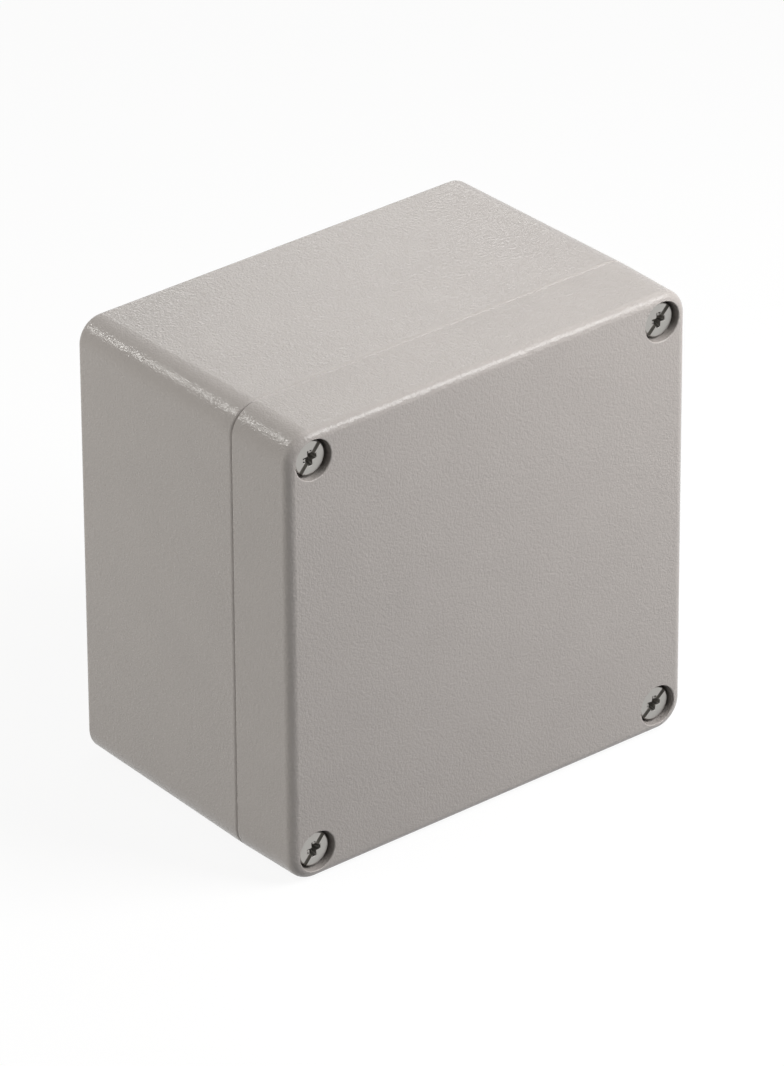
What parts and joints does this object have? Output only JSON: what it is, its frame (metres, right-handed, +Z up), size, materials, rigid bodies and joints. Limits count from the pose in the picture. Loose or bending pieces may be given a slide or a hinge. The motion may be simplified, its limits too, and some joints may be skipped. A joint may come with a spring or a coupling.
{
  "type": "die cast aluminium box",
  "caption": "Sealed die cast box with a stepped hollow, a grooved lid on captive corner screws, earth terminals and wall fixing holes outside the seal.",
  "frame": {"origin": "middle of the flat back face that lies on the wall", "axes": "+Y out of the back face into the wall, the lid faces -Y, +Z up and +X to the right as seen from the front"},
  "size_m": [0.122, 0.08, 0.12],
  "materials": {
    "powder_coated_casting": "grey structured powder coat",
    "stainless_steel": "bare, lightly blasted",
    "seal_rubber": "matt",
    "nylon": "natural",
    "nickel_plated_brass": "nickel plated"
  },
  "bodies": {
    "base": {"base": "powder_coated_casting", "base_earth_clamp": "nickel_plated_brass", "base_earth_spring_washer": "stainless_steel", "base_earth_screw": "stainless_steel"},
    "lid": {"lid": "powder_coated_casting", "gasket": "seal_rubber", "lid_earth_clamp": "nickel_plated_brass", "lid_earth_spring_washer": "stainless_steel", "lid_earth_screw": "stainless_steel"},
    "ring_top_left": {"captive_ring_top_left": "nylon"},
    "screw_top_left": {"lid_screw_top_left": "stainless_steel"},
    "ring_top_right": {"captive_ring_top_right": "nylon"},
    "screw_top_right": {"lid_screw_top_right": "stainless_steel"},
    "ring_bottom_left": {"captive_ring_bottom_left": "nylon"},
    "screw_bottom_left": {"lid_screw_bottom_left": "stainless_steel"},
    "ring_bottom_right": {"captive_ring_bottom_right": "nylon"},
    "screw_bottom_right": {"lid_screw_bottom_right": "stainless_steel"}
  },
  "joints": [
    {"name": "lid_lift", "type": "slide", "parent": "base", "child": "lid", "axis": [0, -1, 0], "range_m": [0, 0.06]},
    {"name": "screw_travel_top_left", "type": "slide", "parent": "lid", "child": "ring_top_left", "axis": [0, -1, 0], "range_m": [0, 0.011]},
    {"name": "screw_turn_top_left", "type": "hinge", "parent": "ring_top_left", "child": "screw_top_left", "pos_m": [-0.053, -0.075, 0.0525], "axis": [0, -1, 0], "range_deg": [0, 3960]},
    {"name": "screw_travel_top_right", "type": "slide", "parent": "lid", "child": "ring_top_right", "axis": [0, -1, 0], "range_m": [0, 0.011]},
    {"name": "screw_turn_top_right", "type": "hinge", "parent": "ring_top_right", "child": "screw_top_right", "pos_m": [0.053, -0.075, 0.0525], "axis": [0, -1, 0], "range_deg": [0, 3960]},
    {"name": "screw_travel_bottom_left", "type": "slide", "parent": "lid", "child": "ring_bottom_left", "axis": [0, -1, 0], "range_m": [0, 0.011]},
    {"name": "screw_turn_bottom_left", "type": "hinge", "parent": "ring_bottom_left", "child": "screw_bottom_left", "pos_m": [-0.053, -0.075, -0.0525], "axis": [0, -1, 0], "range_deg": [0, 3960]},
    {"name": "screw_travel_bottom_right", "type": "slide", "parent": "lid", "child": "ring_bottom_right", "axis": [0, -1, 0], "range_m": [0, 0.011]},
    {"name": "screw_turn_bottom_right", "type": "hinge", "parent": "ring_bottom_right", "child": "screw_bottom_right", "pos_m": [0.053, -0.075, -0.0525], "axis": [0, -1, 0], "range_deg": [0, 3960]}
  ],
  "couplings": [
    {"joint": "screw_turn_top_left", "follows": "screw_travel_top_left", "rad_per_m": 6283.2},
    {"joint": "screw_turn_top_right", "follows": "screw_travel_top_right", "rad_per_m": 6283.2},
    {"joint": "screw_turn_bottom_left", "follows": "screw_travel_bottom_left", "rad_per_m": 6283.2},
    {"joint": "screw_turn_bottom_right", "follows": "screw_travel_bottom_right", "rad_per_m": 6283.2}
  ]
}
